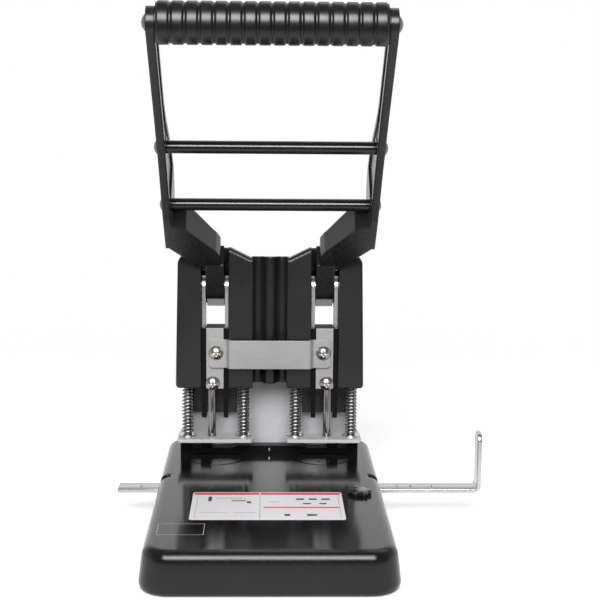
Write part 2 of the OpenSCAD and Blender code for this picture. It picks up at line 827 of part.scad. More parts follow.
// cross recessed screw, its dome towards -Z
module pan_screw(len) {
    difference() {
        union() {
            cylinder(d = screw_d, h = len);
            mirror([0, 0, 1]) dome(10, 2.7);
        }
        for (a = [0, 90]) rotate(a) translate([0, 0, -2.6]) cube([4.4, 1, 2.2], center = true);
    }
}

module holder_screws() {
    color("#c8cacc") for (m = [0, 1]) mirror_x(m) {
        translate([screw_x, ear_y - 2 - seat, high_screw_z]) rotate([-90, 0, 0]) pan_screw(long_screw);
        translate([low_screw_x, holder_y - holder_t - seat, low_screw_z]) rotate([-90, 0, 0])
            pan_screw(short_screw);
    }
}

module punch_pin() {
    difference() {
        translate([pin_x, 0, tip_z]) cylinder(d = pin_d, h = pin_top - tip_z);
        translate([pin_x, 0, tip_z - 1]) cylinder(d = pin_d - 1.6, h = 24);
    }
}

module punch_pin_left() {
    color("#d0d2d4") mirror_x(1) punch_pin();
}

module punch_pin_right() {
    color("#d0d2d4") punch_pin();
}

module cutting_disc() {
    difference() {
        translate([uc, 0, disc_seat_z]) cylinder(d = disc_d, h = disc_t);
        for (d = [-3.5, 3.5]) translate([uc + d, -9, disc_seat_z + 0.8]) cylinder(d = 2, h = disc_t);
    }
}

module cutting_disc_left() {
    color("#3a3a3d") mirror_x(1) cutting_disc();
}

module cutting_disc_right() {
    color("#3a3a3d") cutting_disc();
}

module guide_bar() {
    w = guide_w / 2;
    top = guide_rise + 2;
    color("#c9cbcd") translate([0, guide_y, guide_z]) intersection() {
        rotate([90, 0, 0]) linear_extrude(guide_w, center = true) {
            translate([-guide_left, 0]) square([guide_left + guide_right - bend_r, guide_t]);
            translate([guide_right - guide_t, bend_r]) square([guide_t, top - bend_r]);
            translate([guide_right - bend_r, bend_r]) intersection() {
                difference() {
                    circle(r = bend_r);
                    circle(r = bend_r - guide_t);
                }
                translate([0, -bend_r]) square(bend_r);
            }
        }
        // upright end with its front corner taken off
        side_plate(-guide_left - 1, guide_right + 1)
            polygon([[-w, -1], [w, -1], [w, top], [5 - w, top], [1.5 - w, top - 2], [-w, top - 6]]);
    }
}

module lock_knob() {
    color("#1d1d1f") translate([knob_x, knob_y, 0]) {
        translate([0, 0, base_h + 0.1]) linear_extrude(5) offset(r = 1.2) offset(delta = -1.2)
            for (a = [0 : 60 : 300]) rotate(a) hull() {
                circle(d = 9, $fn = 24);
                translate([5.6, 0]) circle(d = 3.8, $fn = 16);
            }
        translate([0, 0, base_h - sheet - 1]) cylinder(d = 6, h = sheet + 2);
        translate([0, 0, 11]) cylinder(d = 5, h = base_h - 11);
    }
}

base_pan();
bottom_cover();
anvil_plate();
back_plate();
frame_bolts();
punch_head();
lever_axle();
axle_clips();
pivot_spacers();
stripper_plate_left();
stripper_plate_right();
guide_rods();
rod_washers();
spring_left_outer();
spring_left_inner();
spring_right_inner();
spring_right_outer();
guide_clamp();
lever_arm_left();
lever_arm_right();
crossbar_upper();
crossbar_lower();
crossbar_bolts();
grip_core();
grip_sleeve();
grip_bolts();
nose_pins();
link_plates_left();
link_plates_right();
ram_left();
ram_right();
link_pins();
punch_holder_left();
punch_holder_right();
tie_bracket();
holder_screws();
punch_pin_left();
punch_pin_right();
cutting_disc_left();
cutting_disc_right();
guide_bar();
lock_knob();
paper_stop();
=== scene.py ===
"""Looks of a heavy duty two-hole punch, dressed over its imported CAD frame.

Units are metres. X is right, Y is away from the user and Z is up.
"""

import logging
import math
from dataclasses import dataclass
from enum import Enum
from typing import Any, Dict, List, Tuple

import bpy
from mathutils import Matrix, Vector


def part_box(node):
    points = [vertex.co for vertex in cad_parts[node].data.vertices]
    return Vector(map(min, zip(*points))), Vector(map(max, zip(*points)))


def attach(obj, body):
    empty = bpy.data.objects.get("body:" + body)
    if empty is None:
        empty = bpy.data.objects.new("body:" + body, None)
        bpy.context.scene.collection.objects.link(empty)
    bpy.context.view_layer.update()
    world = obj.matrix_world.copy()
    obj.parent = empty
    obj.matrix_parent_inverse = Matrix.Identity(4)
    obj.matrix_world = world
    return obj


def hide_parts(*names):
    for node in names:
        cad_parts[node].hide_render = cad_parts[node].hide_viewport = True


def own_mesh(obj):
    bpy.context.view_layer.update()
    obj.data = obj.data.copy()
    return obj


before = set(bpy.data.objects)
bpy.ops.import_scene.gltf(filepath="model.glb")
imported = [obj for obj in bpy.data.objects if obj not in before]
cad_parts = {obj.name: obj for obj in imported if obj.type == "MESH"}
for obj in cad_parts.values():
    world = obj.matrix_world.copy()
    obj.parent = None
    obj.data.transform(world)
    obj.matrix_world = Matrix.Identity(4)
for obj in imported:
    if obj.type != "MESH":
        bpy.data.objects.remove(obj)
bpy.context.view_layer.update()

log = logging.getLogger("punch")
MM = 0.001
MERGE = 0.01 * MM
Vec2 = Tuple[float, float]
Vec3 = Tuple[float, float, float]


def linear(hex_code: str) -> Tuple[float, float, float, float]:
    """Turn an sRGB hex colour into linear RGBA.

    Args:
        hex_code: Six hex digits with a leading hash.

    Returns:
        Linear red, green, blue and an alpha of one.
    """
    parts = [int(hex_code[i:i + 2], 16) / 255 for i in (1, 3, 5)]
    lin = [c / 12.92 if c <= 0.04045 else ((c + 0.055) / 1.055) ** 2.4 for c in parts]
    return lin[0], lin[1], lin[2], 1.0


def add_node(tree: bpy.types.NodeTree, kind: str, settings: Dict[str, Any] | None = None,
             **inputs: Any) -> bpy.types.Node:
    """Add a node, set it and link it.

    Args:
        tree: Node tree that takes the node.
        kind: Blender's type name of the node.
        settings: Attributes of the node.
        **inputs: Values or output sockets, by input name with underscores for spaces.

    Returns:
        The new node.
    """
    node = tree.nodes.new(kind)
    for key, value in (settings or {}).items():
        setattr(node, key, value)
    for key, value in inputs.items():
        numbered = key[0] == "i" and key[1:].isdigit()
        socket = node.inputs[int(key[1:]) if numbered else key.replace("_", " ")]
        if isinstance(value, bpy.types.NodeSocket):
            tree.links.new(value, socket)
        else:
            socket.default_value = value
    return node


class Grain(Enum):
    """Surface pattern of a finish: detail and roughness of its noise."""

    PEEL = (1.0, 0.40)
    CAST = (5.0, 0.62)
    BRUSHED = (3.0, 0.55)
    MOULDED = (2.0, 0.50)
    PRINTED = (0.5, 0.30)


# Sprayed and handled surfaces change slowly over this length, and more by that than by their grain.
SLOW_REACH = 60 * MM
SLOW_SHARE = 0.65
GRAIN_SHARE = 0.35
# Range of the mixed pattern over which the tone changes, and the one over which the gloss does.
TONE_SPAN: Vec2 = (0.38, 0.62)
GLOSS_SPAN: Vec2 = (0.3, 0.7)
# Height of the relief as a share of the grain's width.
RELIEF = 0.25


@dataclass(frozen=True)
class Finish:
    """One real finish: its colour, gloss and surface pattern.

    grain_mm is the width of one blob or line of the pattern. Brushed and ground lines, really about
    0.05 mm wide, are drawn coarser so that they show.
    """

    name: str
    colour: str
    shade: str
    grain: Grain
    roughness: float
    spread: float = 0.04
    metallic: float = 0.0
    specular: float = 0.5
    grain_mm: float = 0.8
    bump: float = 0.05
    edge_mm: float = 0.0
    stretch: Vec3 = (1.0, 1.0, 1.0)

    def pattern(self, tree: bpy.types.NodeTree, coords: bpy.types.NodeSocket) -> bpy.types.NodeSocket:
        """Draw the finish's own grain, one blob about grain_mm wide.

        Args:
            tree: Node tree of the material.
            coords: Object coordinates in metres.

        Returns:
            The pattern's value, about 0.3 to 0.7.
        """
        detail, rough = self.grain.value
        placed = add_node(tree, "ShaderNodeMapping", Vector=coords, Scale=self.stretch).outputs["Vector"]
        if self.grain is Grain.MOULDED:
            cells = add_node(tree, "ShaderNodeTexVoronoi", {"feature": "SMOOTH_F1"}, Vector=placed,
                             Scale=1.0 / (self.grain_mm * MM))
            return cells.outputs["Distance"]
        noise = add_node(tree, "ShaderNodeTexNoise", Vector=placed, Scale=1.0 / (self.grain_mm * MM),
                         Detail=detail, Roughness=rough)
        return noise.outputs[0]

    def build(self) -> bpy.types.Material:
        """Make the material.

        Returns:
            A node material named for the real finish.
        """
        mat = bpy.data.materials.new(self.name)
        mat.use_nodes = True
        tree = mat.node_tree
        tree.nodes.clear()
        out = add_node(tree, "ShaderNodeOutputMaterial")
        coords = add_node(tree, "ShaderNodeTexCoord").outputs["Object"]
        fine = self.pattern(tree, coords)
        broad = add_node(tree, "ShaderNodeTexNoise", Vector=coords, Scale=1.0 / SLOW_REACH, Detail=2.0)
        slow = add_node(tree, "ShaderNodeMath", {"operation": "MULTIPLY"}, i0=broad.outputs[0], i1=SLOW_SHARE)
        blend = add_node(tree, "ShaderNodeMath", {"operation": "MULTIPLY_ADD"}, i0=fine, i1=GRAIN_SHARE,
                         i2=slow.outputs[0])
        ramp = add_node(tree, "ShaderNodeValToRGB", Fac=blend.outputs[0])
        for stop, place, tone in zip(ramp.color_ramp.elements, TONE_SPAN, (self.shade, self.colour)):
            stop.position = place
            stop.color = linear(tone)
        gloss = add_node(tree, "ShaderNodeMapRange", Value=blend.outputs[0], i1=GLOSS_SPAN[0],
                         i2=GLOSS_SPAN[1], i3=self.roughness - self.spread, i4=self.roughness + self.spread)
        relief = add_node(tree, "ShaderNodeBump", Height=fine, Strength=self.bump,
                          Distance=self.grain_mm * MM * RELIEF)
        if self.edge_mm:
            # coats and rolled edges are a little round, so they catch the light
            soft = add_node(tree, "ShaderNodeBevel", {"samples": 6}, Radius=self.edge_mm * MM)
            tree.links.new(soft.outputs["Normal"], relief.inputs["Normal"])
        shader = add_node(tree, "ShaderNodeBsdfPrincipled", Base_Color=ramp.outputs["Color"],
                          Roughness=gloss.outputs["Result"], Normal=relief.outputs["Normal"])
        shader.inputs["Metallic"].default_value = self.metallic
        shader.inputs["Specular IOR Level"].default_value = self.specular
        tree.links.new(shader.outputs["BSDF"], out.inputs["Surface"])
        return mat


# Powder coat on pressed steel: deep black and smooth, so the table mirrors what stands on it.
POWDER_COAT = Finish("Black powder coat on steel", "#111112", "#0e0e0f", Grain.PEEL, 0.13, spread=0.02,
                     specular=0.32, bump=0.012, grain_mm=1.6, edge_mm=3.2)
# Sprayed paint over a die casting: satin, its flat faces take a soft grey from the room.
CAST_PAINT = Finish("Black paint on zinc casting", "#1a1a1b", "#151516", Grain.CAST, 0.28, specular=0.36,
                    bump=0.02, grain_mm=1.2, edge_mm=1.5)
# Thick satin paint on the lever, which hands polish.
LEVER_PAINT = Finish("Black paint on cast lever", "#19191a", "#141415", Grain.CAST, 0.26, specular=0.36,
                     bump=0.015, grain_mm=1.2, edge_mm=1.4)
# Round bars carry a smoother coat with a crisp highlight.
BAR_PAINT = Finish("Black paint on steel bar", "#101011", "#0d0d0e", Grain.PEEL, 0.18, spread=0.01,
                   specular=0.45, bump=0.002, grain_mm=1.0)
# Dome heads of the lever's bolts: dark plating with a bright rim where it mirrors the room.
BLACK_NICKEL = Finish("Black nickel plated steel", "#77777a", "#6c6c70", Grain.BRUSHED, 0.16, spread=0.03,
                      metallic=1.0, bump=0.01, grain_mm=0.7)
# Blackened steel slides: matt and dark, they give almost no light back. The pivot spacers wear it as painted
# shade, so the gap in the lever's slot stays dark.
BLACK_OXIDE = Finish("Black oxide steel", "#0c0c0d", "#09090a", Grain.BRUSHED, 0.40, specular=0.08,
                     bump=0.02, grain_mm=0.8, stretch=(1.0, 1.0, 0.15))
# Passivated zinc on the back wall: its pale skin is mostly matt, so the wall is an even light grey.
SATIN_PLATE = Finish("Satin zinc plated sheet", "#ababad", "#a4a4a6", Grain.BRUSHED, 0.48, metallic=0.35,
                     bump=0.012, grain_mm=1.2, stretch=(0.1, 1.0, 1.0))
# Passivated zinc on strip: half matt, half metal, with lines along the rolling direction.
ZINC_PLATE = Finish("Zinc plated steel strip", "#929292", "#878788", Grain.BRUSHED, 0.40, metallic=0.45,
                    bump=0.04, grain_mm=0.9, stretch=(0.08, 1.0, 1.0), edge_mm=0.4)
# Paler zinc of the stripper plates, rubbed by paper, so that their edges stay light.
BRIGHT_ZINC = Finish("Bright zinc plated strip", "#aeaeae", "#a4a4a5", Grain.BRUSHED, 0.40, metallic=0.3,
                     bump=0.03, grain_mm=0.9, stretch=(0.08, 1.0, 1.0), edge_mm=0.4)
# Rolled strip of the paper guide: its top mirrors the backdrop and its narrow edges stay darker.
STRIP_STEEL = Finish("Rolled zinc plated strip", "#c8c8c8", "#bfbfc0", Grain.BRUSHED, 0.24, metallic=1.0,
                     bump=0.008, grain_mm=0.9, stretch=(0.08, 1.0, 1.0))
# Standing link plates: lines run up the plate and blur the light on its edge.
LINK_STEEL = Finish("Ground steel plate", "#b2b2b3", "#a5a6a7", Grain.BRUSHED, 0.36, metallic=1.0,
                    bump=0.04, grain_mm=0.8, stretch=(1.0, 1.0, 0.08), edge_mm=0.4)
# Bright nickel of washers and pivot pins: small, clear mirrors.
NICKEL = Finish("Bright nickel plated steel", "#cccbc9", "#bfbebc", Grain.BRUSHED, 0.15, spread=0.03,
                metallic=1.0, bump=0.01, grain_mm=0.7, edge_mm=0.25)
# Spring wire: thinner, duller plating, so each coil shows a soft grey line.
SPRING_WIRE = Finish("Zinc plated spring wire", "#a2a2a1", "#969695", Grain.BRUSHED, 0.30, spread=0.03,
                     metallic=1.0, bump=0.01, grain_mm=0.7)
# Drawn steel of the rods inside the springs: partly its own grey, partly painted shade, toned darker so the
# gaps between the coils look shaded.
ROD_STEEL_WITH_GAP_SHADE = Finish("Drawn steel rod", "#6a6a69", "#60605f", Grain.BRUSHED, 0.28, metallic=0.9, bump=0.01,
                   grain_mm=0.7)
# Satin nickel of the pan head screws: a soft light top and warm grey flanks.
SCREW_NICKEL = Finish("Satin nickel plated screw", "#b3aea8", "#a6a19b", Grain.BRUSHED, 0.27, spread=0.03,
                      metallic=1.0, bump=0.01, grain_mm=0.7, edge_mm=0.3)
# Ground tool steel of the punch pins: darker than the plated parts beside them, with a clear shine.
TOOL_STEEL = Finish("Ground tool steel", "#8e8d8c", "#807f7e", Grain.BRUSHED, 0.10, spread=0.03,
                    metallic=1.0, bump=0.01, grain_mm=0.7, stretch=(1.0, 1.0, 0.1))
# Oiled plain steel of hidden plates and bolts: dull grey.
PLAIN_STEEL = Finish("Oiled plain steel", "#8f9194", "#828487", Grain.BRUSHED, 0.40, metallic=1.0,
                     bump=0.05, grain_mm=0.9)
# Moulded rubber grip: matt with a soft broad sheen.
RUBBER = Finish("Moulded black rubber", "#0c0c0d", "#09090a", Grain.MOULDED, 0.33, specular=0.42, bump=0.03,
                grain_mm=0.9)
# Moulded nylon of the discs and the knob: smooth, with a small clear shine.
NYLON = Finish("Moulded black nylon", "#131314", "#0f0f10", Grain.MOULDED, 0.15, spread=0.02, bump=0.01,
               grain_mm=0.8, edge_mm=0.4)
# Film sticker: off-white and slightly glossy.
FILM_WHITE = Finish("White printed film", "#d0ced0", "#cac8ca", Grain.PRINTED, 0.35, bump=0.01, grain_mm=2.0)
# Red ink: a flat clear colour with the film's own sheen.
FILM_RED = Finish("Red printed film", "#c04848", "#b84242", Grain.PRINTED, 0.35, bump=0.01, grain_mm=2.0)
# Grey ink: thin lines that stay quiet beside the red.
FILM_GREY = Finish("Grey printed rule", "#9a979a", "#929092", Grain.PRINTED, 0.40, bump=0.01, grain_mm=2.0)
# Dark ink: nearly black areas, a little softer than paint.
FILM_DARK = Finish("Dark printed mark", "#3c3c40", "#343438", Grain.PRINTED, 0.40, bump=0.01, grain_mm=2.0)

WORN: Dict[Finish, Tuple[str, ...]] = {
    POWDER_COAT: ("base_pan",),
    CAST_PAINT: ("punch_head",),
    LEVER_PAINT: ("lever_arm_left", "lever_arm_right"),
    BAR_PAINT: ("crossbar_upper", "crossbar_lower"),
    BLACK_NICKEL: ("crossbar_bolts", "grip_bolts"),
    # pivot_spacers: their black here is painted shade for the dark gap in the lever's slot
    BLACK_OXIDE: ("ram_left", "ram_right", "paper_stop", "pivot_spacers"),
    SATIN_PLATE: ("back_plate",),
    ZINC_PLATE: ("punch_holder_left", "punch_holder_right", "tie_bracket"),
    BRIGHT_ZINC: ("stripper_plate_left", "stripper_plate_right"),
    STRIP_STEEL: ("guide_bar",),
    LINK_STEEL: ("link_plates_left", "link_plates_right"),
    NICKEL: ("rod_washers", "nose_pins", "link_pins"),
    SPRING_WIRE: ("spring_left_outer", "spring_left_inner", "spring_right_inner", "spring_right_outer"),
    # the rods' darker tone is partly painted shade in the gaps between the coils
    ROD_STEEL_WITH_GAP_SHADE: ("guide_rods",),
    SCREW_NICKEL: ("holder_screws",),
    TOOL_STEEL: ("punch_pin_left", "punch_pin_right"),
    PLAIN_STEEL: ("anvil_plate", "frame_bolts", "lever_axle", "axle_clips", "guide_clamp", "grip_core"),
    RUBBER: ("grip_sleeve", "bottom_cover"),
    NYLON: ("cutting_disc_left", "cutting_disc_right", "lock_knob"),
}

_made: Dict[Finish, bpy.types.Material] = {}


def material(finish: Finish) -> bpy.types.Material:
    """Return the material of a finish, made once.

    Args:
        finish: The finish asked for.

    Returns:
        Its material, shared by all pieces that wear it.
    """
    if finish not in _made:
        _made[finish] = finish.build()
    return _made[finish]


def dress(obj: bpy.types.Object, finish: Finish) -> None:
    """Give an object one finish.

    Args:
        obj: The piece or CAD node.
        finish: What it wears all over.
    """
    obj.data.materials.clear()
    obj.data.materials.append(material(finish))


def deselect() -> None:
    """Leave nothing selected and no edit mode open."""
    if bpy.context.object and bpy.context.object.mode != "OBJECT":
        bpy.ops.object.mode_set(mode="OBJECT")
    bpy.ops.object.select_all(action="DESELECT")


def settle(obj: bpy.types.Object, name: str) -> bpy.types.Object:
    """Put an object's place into its mesh and name it.

    Args:
        obj: The object just modelled.
        name: Name of the finished piece.

    Returns:
        The same object.
    """
    deselect()
    obj.select_set(True)
    bpy.context.view_layer.objects.active = obj
    bpy.ops.object.transform_apply(location=True, rotation=True, scale=True)
    obj.name = name
    obj.data.name = name
    return obj


def twin(obj: bpy.types.Object, name: str, shift: Vec3) -> bpy.types.Object:
    """Copy a finished piece, with a mesh of its own, to another place.

    Args:
        obj: The piece to copy, before it rides on a body.
        name: Name of the copy.
        shift: Way from the piece to its copy.

    Returns:
        The copy.
    """
    deselect()
    obj.select_set(True)
    bpy.context.view_layer.objects.active = obj
    bpy.ops.object.duplicate()
    copy = bpy.context.object
    copy.location = shift
    return settle(copy, name)


def flat_plate(name: str, low: Vec3, high: Vec3, round_mm: float = 0.0) -> bpy.types.Object:
    """Model a thin plate from a plane, extruded to its thickness.

    Args:
        name: Name of the piece.
        low: Lowest corner in metres.
        high: Highest corner in metres.
        round_mm: Radius of its corners seen from above.

    Returns:
        The finished mesh object.
    """
    deselect()
    middle = ((low[0] + high[0]) / 2, (low[1] + high[1]) / 2, low[2])
    bpy.ops.mesh.primitive_plane_add(size=1, location=middle)
    obj = bpy.context.object
    obj.scale = (high[0] - low[0], high[1] - low[1], 1)
    bpy.ops.object.transform_apply(location=False, rotation=False, scale=True)
    bpy.ops.object.mode_set(mode="EDIT")
    bpy.ops.mesh.select_all(action="SELECT")
    if round_mm:
        bpy.ops.mesh.bevel(offset=round_mm * MM, segments=5, affect="VERTICES")
        bpy.ops.mesh.select_all(action="SELECT")
    bpy.ops.mesh.extrude_region_move(TRANSFORM_OT_translate={"value": (0, 0, high[2] - low[2])})
    bpy.ops.mesh.select_all(action="SELECT")
    bpy.ops.mesh.normals_make_consistent(inside=False)
    bpy.ops.object.mode_set(mode="OBJECT")
    return settle(obj, name)


@dataclass(frozen=True)
class Mark:
    """One printed area of a sticker, in millimetres from the sticker's middle."""

    name: str
    centre: Vec2
    size: Vec2
    finish: Finish


@dataclass
class Sticker:
    """Printed film on the table, with plain bands, rules and marks."""

    left: float = -48.6 * MM
    right: float = 45.8 * MM
    front: float = -143.5 * MM
    rear: float = -85.5 * MM
    film: float = 0.12 * MM
    ink: float = 0.03 * MM
    corner_mm: float = 2.0
    mark_corner_mm: float = 0.8
    marks: Tuple[Mark, ...] = (
        Mark("band_left", (-25.8, 25.4), (41.4, 5.0), FILM_RED),
        Mark("band_right", (20.9, 25.4), (50.6, 5.0), FILM_RED),
        Mark("band_middle", (20.9, -4.0), (47.0, 2.6), FILM_RED),
        Mark("rule_middle", (-4.7, -2.6), (0.5, 50.0), FILM_GREY),
        Mark("rule_left", (-44.0, -2.6), (0.4, 48.0), FILM_GREY),
        Mark("rule_right", (44.6, -2.6), (0.4, 48.0), FILM_GREY),
        Mark("field_lever", (-36.0, 14.0), (2.2, 10.0), FILM_DARK),
        Mark("field_arm", (-24.0, 15.5), (16.0, 1.4), FILM_GREY),
        Mark("field_foot", (-18.0, 10.0), (9.0, 1.8), FILM_DARK),
        Mark("field_knob", (-11.5, 7.0), (2.6, 4.0), FILM_DARK),
        Mark("field_line_a", (-33.0, -15.0), (18.0, 1.0), FILM_GREY),
        Mark("field_line_b", (-14.0, -15.0), (14.0, 1.0), FILM_GREY),
        Mark("field_bar", (4.0, 8.0), (7.0, 1.0), FILM_GREY),
        Mark("field_disc_a", (20.5, 13.5), (5.4, 3.2), FILM_DARK),
        Mark("field_disc_b", (28.5, 13.5), (5.4, 3.2), FILM_DARK),
        Mark("field_disc_c", (36.5, 13.5), (5.4, 3.2), FILM_DARK),
        Mark("field_disc_d", (24.5, 4.0), (5.0, 2.6), FILM_DARK),
        Mark("field_disc_e", (34.5, 4.0), (4.6, 2.6), FILM_DARK),
        Mark("field_step_a", (12.0, -19.5), (3.6, 4.0), FILM_DARK),
        Mark("field_step_b", (27.0, -19.5), (6.4, 3.6), FILM_DARK),
    )

    def build(self) -> None:
        """Model the film, print its areas and let both ride on the base."""
        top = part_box("base_pan")[1][2]
        film = flat_plate("sticker_film", (self.left, self.front, top),
                          (self.right, self.rear, top + self.film), self.corner_mm)
        self.mount(film, FILM_WHITE)
        top += self.film
        middle = ((self.left + self.right) / 2, (self.front + self.rear) / 2)
        for mark in self.marks:
            x, y = (middle[i] + mark.centre[i] * MM for i in (0, 1))
            w, d = (mark.size[i] * MM / 2 for i in (0, 1))
            area = flat_plate("sticker_" + mark.name, (x - w, y - d, top), (x + w, y + d, top + self.ink),
                              min(self.mark_corner_mm, 0.3 * min(mark.size)))
            self.mount(area, mark.finish)

    def mount(self, piece: bpy.types.Object, finish: Finish) -> None:
        """Dress one printed area and let it ride on the frame.

        Args:
            piece: The film or an area on it.
            finish: Its print.
        """
        dress(piece, finish)
        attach(piece, "frame")
        log.info("printed %s", piece.name)


@dataclass
class BareField:
    """Thin printed outline near the table's front left corner, left empty."""

    left: float = -66.0 * MM
    right: float = -38.5 * MM
    front: float = -172.0 * MM
    rear: float = -151.0 * MM
    line: float = 0.35 * MM
    ink: float = 0.03 * MM

    def build(self) -> None:
        """Model the outline from one plate with its middle taken out."""
        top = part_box("base_pan")[1][2]
        deselect()
        middle = ((self.left + self.right) / 2, (self.front + self.rear) / 2, top)
        bpy.ops.mesh.primitive_plane_add(size=1, location=middle)
        outline = bpy.context.object
        outline.scale = (self.right - self.left, self.rear - self.front, 1)
        bpy.ops.object.transform_apply(location=False, rotation=False, scale=True)
        bpy.ops.object.mode_set(mode="EDIT")
        bpy.ops.mesh.select_all(action="SELECT")
        bpy.ops.mesh.inset(thickness=self.line)
        bpy.ops.mesh.delete(type="FACE")
        bpy.ops.mesh.select_all(action="SELECT")
        bpy.ops.mesh.extrude_region_move(TRANSFORM_OT_translate={"value": (0, 0, self.ink)})
        bpy.ops.mesh.select_all(action="SELECT")
        bpy.ops.mesh.normals_make_consistent(inside=False)
        bpy.ops.object.mode_set(mode="OBJECT")
        settle(outline, "bare_field_outline")
        dress(outline, FILM_GREY)
        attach(outline, "frame")
        log.info("printed %s", outline.name)


@dataclass
class Grip:
    """Ribbed rubber sleeve, spun from one side view."""

    ribs: int = 16
    bore: float = 6.02 * MM
    crest: float = 12.0 * MM
    deep: float = 0.85 * MM
    steps: int = 72
    # one rib: share of the pitch along the sleeve, share of the groove's depth above its bottom
    rib: Tuple[Vec2, ...] = ((0.0, 0.0), (0.06, 0.0), (0.085, 0.25), (0.115, 0.62), (0.16, 0.9), (0.23, 1.0),
                             (0.77, 1.0), (0.84, 0.9), (0.885, 0.62), (0.915, 0.25), (0.94, 0.0))

    def outline(self, length: float) -> List[Vec3]:
        """List the sleeve's side view along X.

        Args:
            length: Length of the sleeve.

        Returns:
            Points of the closed outline, with the radius along Z.
        """
        pitch = length / self.ribs
        groove = self.crest - self.deep
        points: List[Vec3] = [(0.0, 0.0, self.bore)]
        for i in range(self.ribs):
            points += [((i + along) * pitch, 0.0, groove + rise * self.deep) for along, rise in self.rib]
        return points + [(length, 0.0, groove), (length, 0.0, self.bore)]

    def build(self) -> None:
        """Spin the sleeve round the grip's axis in place of the plain CAD one."""
        low, high = (Vector(c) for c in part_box("grip_sleeve"))
        middle = (low + high) / 2
        points = [Vector((low.x + x, middle.y + y, middle.z + z)) for x, y, z in self.outline(high.x - low.x)]
        deselect()
        bpy.ops.mesh.primitive_plane_add(size=MM, location=points[0])
        sleeve = bpy.context.object
        bpy.ops.object.transform_apply(location=True, rotation=True, scale=True)
        bpy.ops.object.mode_set(mode="EDIT")
        bpy.ops.mesh.select_all(action="SELECT")
        bpy.ops.mesh.merge(type="CENTER")
        for here, there in zip(points, points[1:] + points[:1]):
            bpy.ops.mesh.extrude_region_move(TRANSFORM_OT_translate={"value": there - here})
        bpy.ops.mesh.select_all(action="SELECT")
        bpy.ops.mesh.remove_doubles(threshold=MERGE)
        bpy.ops.mesh.select_all(action="SELECT")
        bpy.ops.mesh.spin(steps=self.steps, angle=2 * math.pi, center=middle, axis=(1, 0, 0))
        bpy.ops.mesh.select_all(action="SELECT")
        bpy.ops.mesh.remove_doubles(threshold=MERGE)
        bpy.ops.mesh.normals_make_consistent(inside=False)
        bpy.ops.object.mode_set(mode="OBJECT")
        bpy.ops.object.shade_smooth_by_angle(angle=math.radians(50))
        settle(sleeve, "ribbed_sleeve")
        dress(sleeve, RUBBER)
        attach(sleeve, "lever")
        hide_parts("grip_sleeve")
        log.info("spun %s with %d ribs", sleeve.name, self.ribs)


@dataclass
class StopScrew:
    """Small screw in the middle of the paper stop's front."""

    radius: float = 1.0 * MM
    head: float = 0.6 * MM
    dome: float = 0.4 * MM
    seat: float = 0.01 * MM
    lift: float = 2.9 * MM

    def build(self) -> None:
        """Model the round head from a cylinder with its front edge bevelled."""
        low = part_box("paper_stop")[0]
        place = (0, low[1] - self.head / 2 + self.seat, low[2] + self.lift)
        deselect()
        bpy.ops.mesh.primitive_cylinder_add(vertices=32, radius=self.radius, depth=self.head,
                                            rotation=(math.pi / 2, 0, 0), location=place)
        screw = bpy.context.object
        bevel = screw.modifiers.new("dome", "BEVEL")
        bevel.width, bevel.segments, bevel.limit_method = self.dome, 4, "ANGLE"
        bpy.ops.object.modifier_apply(modifier=bevel.name)
        bpy.ops.object.shade_smooth_by_angle(angle=math.radians(40))
        settle(screw, "stop_screw")
        dress(screw, SCREW_NICKEL)
        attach(screw, "frame")
        log.info("turned %s", screw.name)


@dataclass
class Coils:
    """The four return springs, wound with a screw modifier."""

    wire: float = 1.1 * MM
    outer: float = 8.2 * MM
    turns: int = 23
    travel: float = 15.176 * MM
    names: Tuple[str, ...] = ("spring_left_outer", "spring_left_inner", "spring_right_inner",
                              "spring_right_outer")

    def foot(self, node: str) -> Vector:
        """Find the middle of a spring's lowest turn.

        Args:
            node: Name of the CAD spring.

        Returns:
            A point on the spring's axis.
        """
        low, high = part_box(node)
        return Vector(((low[0] + high[0]) / 2, (low[1] + high[1]) / 2, low[2] + self.wire / 2))

    def wind(self, node: str) -> bpy.types.Object:
        """Wind one spring where its CAD node stands.

        Args:
            node: Name of the CAD spring.

        Returns:
            The finished coil.
        """
        low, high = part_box(node)
        height = high[2] - low[2] - self.wire
        deselect()
        bpy.ops.mesh.primitive_circle_add(vertices=12, radius=self.wire / 2, rotation=(math.pi / 2, 0, 0),
                                          location=((self.outer - self.wire) / 2, 0, 0))
        coil = bpy.context.object
        bpy.ops.object.transform_apply(location=True, rotation=True, scale=True)
        screw = coil.modifiers.new("wound", "SCREW")
        screw.angle = 2 * math.pi
        screw.screw_offset = height / self.turns
        screw.iterations = self.turns
        screw.steps = screw.render_steps = 32
        screw.use_normal_calculate = True
        bpy.ops.object.modifier_apply(modifier=screw.name)
        bpy.ops.object.mode_set(mode="EDIT")
        bpy.ops.mesh.select_all(action="SELECT")
        bpy.ops.mesh.remove_doubles(threshold=MERGE)
        bpy.ops.mesh.select_all(action="DESELECT")
        bpy.ops.mesh.select_non_manifold()
        bpy.ops.mesh.edge_face_add()
        bpy.ops.mesh.select_all(action="SELECT")
        bpy.ops.mesh.normals_make_consistent(inside=False)
        bpy.ops.object.mode_set(mode="OBJECT")
        bpy.ops.object.shade_smooth_by_angle(angle=math.radians(40))
        coil.location = self.foot(node)
        return settle(coil, node.replace("spring", "coil"))

    def build(self) -> None:
        """Wind one spring, copy it for the others and let all ride on the frame."""
        first = self.names[0]
        coils = {first: self.wind(first)}
        for node in self.names[1:]:
            shift = self.foot(node) - self.foot(first)
            coils[node] = twin(coils[first], node.replace("spring", "coil"), tuple(shift))
        for node, coil in coils.items():
            dress(coil, SPRING_WIRE)
            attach(coil, "frame")
            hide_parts(node)
            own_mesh(coil)
            log.info("wound %s", coil.name)


